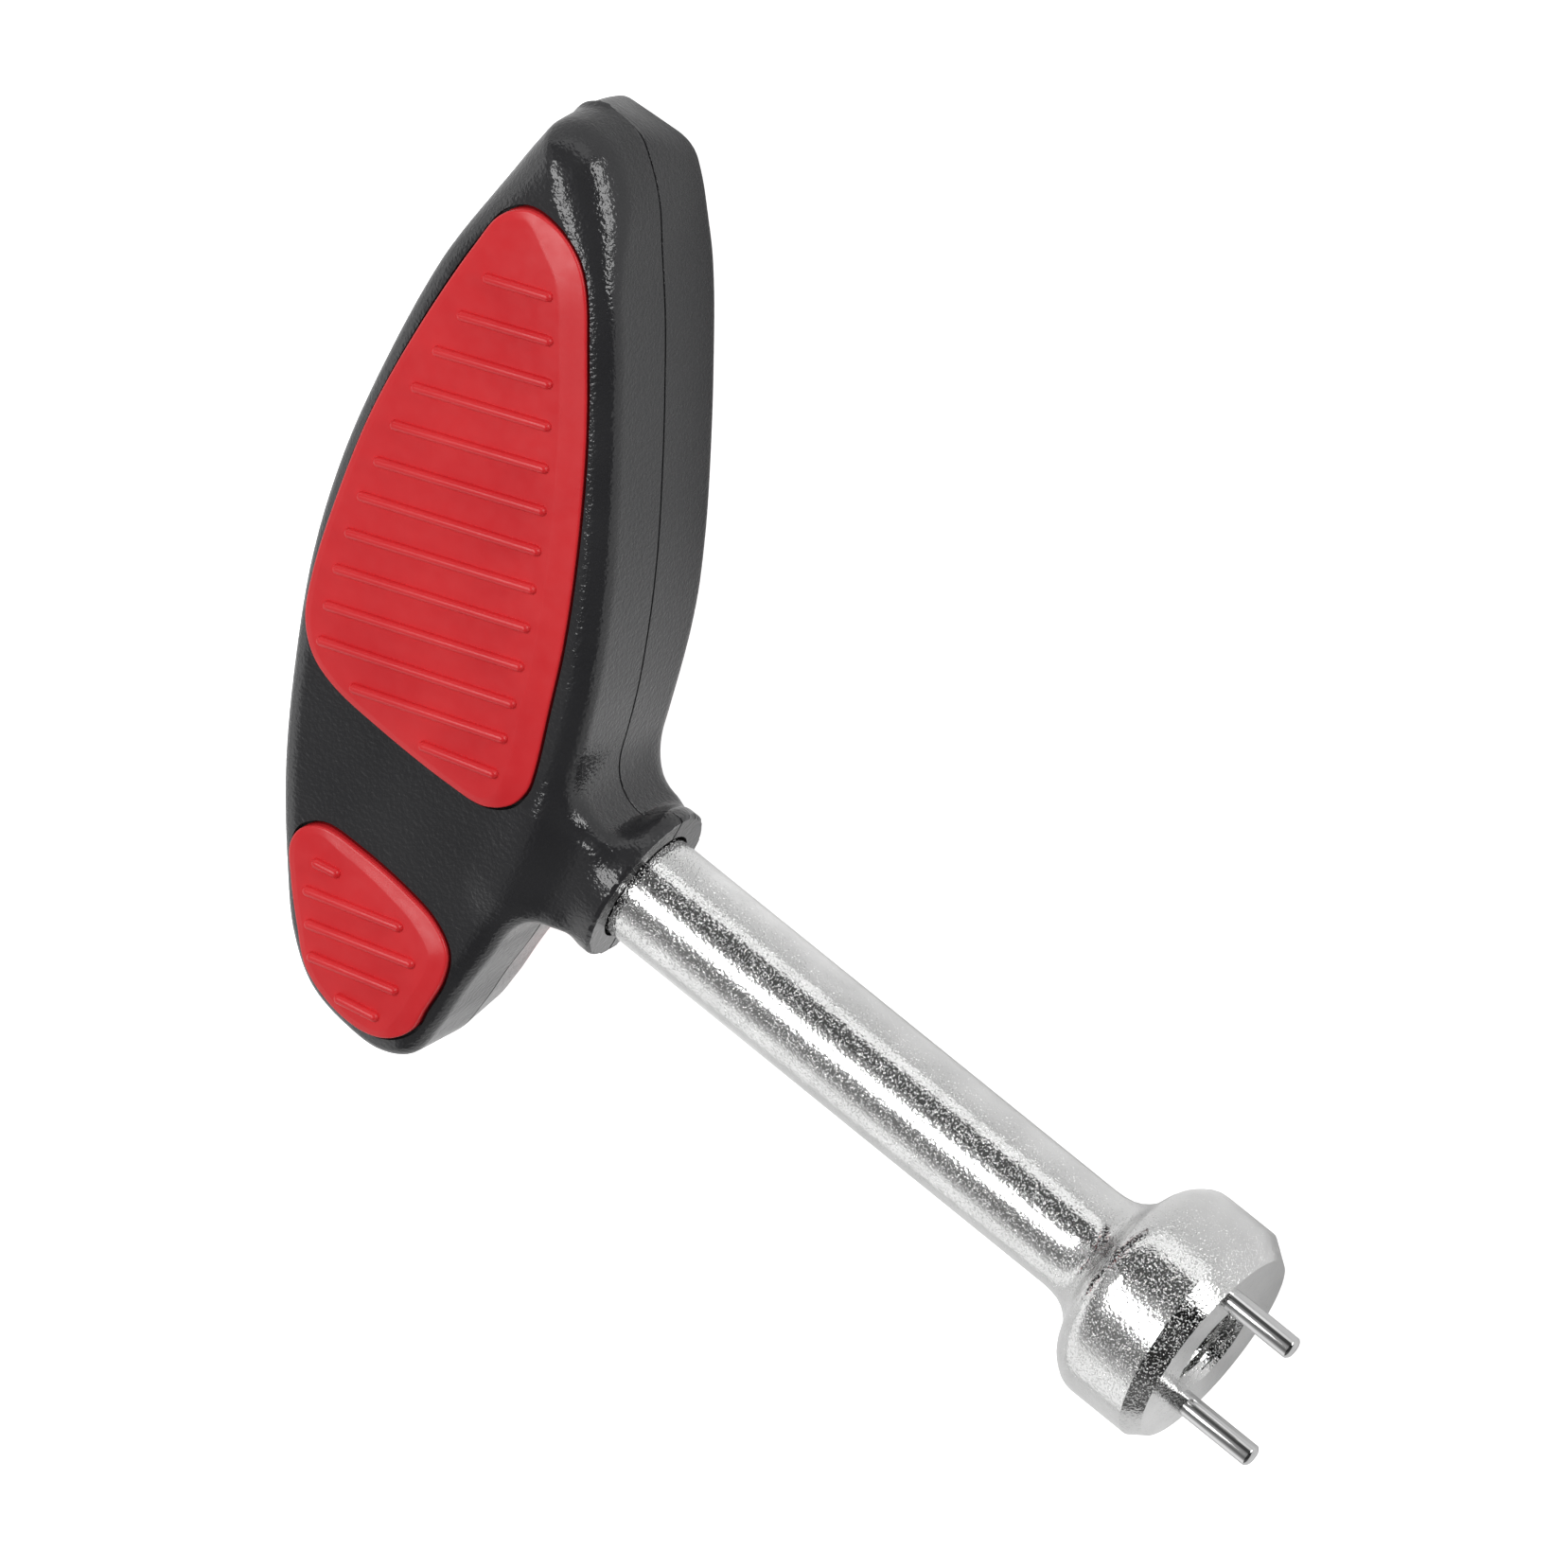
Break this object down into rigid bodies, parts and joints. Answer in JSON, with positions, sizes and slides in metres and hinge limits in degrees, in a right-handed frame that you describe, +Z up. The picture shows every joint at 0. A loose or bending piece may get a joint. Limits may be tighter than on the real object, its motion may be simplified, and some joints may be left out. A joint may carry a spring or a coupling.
{
  "type": "pin spanner",
  "caption": "T-handle pin spanner with a moulded ribbed grip, a cast shank and a bored disc head carrying parallel drive pins",
  "frame": {"origin": "centre of the bounding box's base, on the surface that the spanner's head rests on when it lies flat", "axes": "+X runs along the shank towards the drive pins, +Y towards the long end of the handle, +Z up out of the handle's front face"},
  "size_m": [0.1186, 0.0868, 0.0223],
  "materials": {
    "handle_plastic": "fine spark-eroded grain",
    "grip_rubber": "smooth satin",
    "plated_casting": "bright plating over a rough cast skin",
    "ground_pin": "polished round bar"
  },
  "bodies": {
    "root": {"handle_shell_front": "handle_plastic", "handle_shell_rear": "handle_plastic", "grip_pad_large_front": "grip_rubber", "grip_pad_small_front": "grip_rubber", "grip_pad_large_rear": "grip_rubber", "grip_pad_small_rear": "grip_rubber", "shank": "plated_casting", "drive_pin_upper": "ground_pin", "drive_pin_lower": "ground_pin"}
  },
  "joints": []
}
